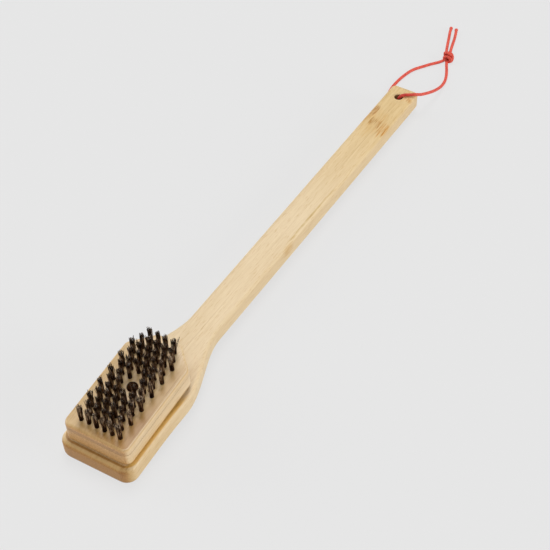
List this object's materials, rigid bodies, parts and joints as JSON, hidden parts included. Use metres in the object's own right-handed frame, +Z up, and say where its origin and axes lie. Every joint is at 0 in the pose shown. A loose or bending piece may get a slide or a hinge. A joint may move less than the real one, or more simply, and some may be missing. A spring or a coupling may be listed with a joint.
{
  "type": "grill brush",
  "caption": "Long-handled bamboo grill brush: dark wire tufts in a two-ply bristle block screwed to a paddle-shaped head, with a red hanging cord.",
  "frame": {"origin": "on the table, under the middle of the brush's box without its cord. The brush lies on its back, bristles up, on the lower front edge of its head and on the cord under its handle's end", "axes": "+X from the head to the handle's end, +Y to the left seen from the head with the bristles up, +Z up. The head's own faces are tilted 6.40 degrees, because the handle bends down behind the head"},
  "size_m": [0.5796, 0.06, 0.058],
  "materials": {
    "bamboo": "sanded and oiled, satin",
    "block_bamboo": "sanded and oiled, satin",
    "bristle_steel": "dark tempered wire",
    "dark_screw": "dark bronze plating",
    "insert_brass": "plain turned brass",
    "dowel_beech": "unfinished",
    "red_cord": "waxed round cord"
  },
  "bodies": {
    "board": {"handle_board": "bamboo", "threaded_insert": "insert_brass", "locating_dowel_left": "dowel_beech", "locating_dowel_right": "dowel_beech", "hanging_cord_loop": "red_cord", "cord_knot": "red_cord", "cord_tail_left": "red_cord", "cord_tail_right": "red_cord"},
    "brush_head": {"block_base": "block_bamboo", "block_face": "block_bamboo", "tuft_row_01": "bristle_steel", "tuft_row_02": "bristle_steel", "tuft_row_03": "bristle_steel", "tuft_row_04": "bristle_steel", "tuft_row_05": "bristle_steel", "tuft_row_06": "bristle_steel", "tuft_row_07_left": "bristle_steel", "tuft_row_07_right": "bristle_steel", "tuft_row_08": "bristle_steel", "tuft_row_09": "bristle_steel", "tuft_row_10": "bristle_steel", "tuft_row_11": "bristle_steel", "tuft_row_12": "bristle_steel", "tuft_row_13": "bristle_steel"},
    "screw": {"block_screw": "dark_screw"}
  },
  "joints": [
    {"name": "head_release", "type": "slide", "parent": "board", "child": "brush_head", "axis": [-0.1115, 0, 0.9938], "range_m": [0, 0.03]},
    {"name": "screw_turn", "type": "hinge", "parent": "brush_head", "child": "screw", "pos_m": [-0.18037, 0, 0.03787], "axis": [-0.1115, 0, 0.9938], "continuous": true}
  ]
}
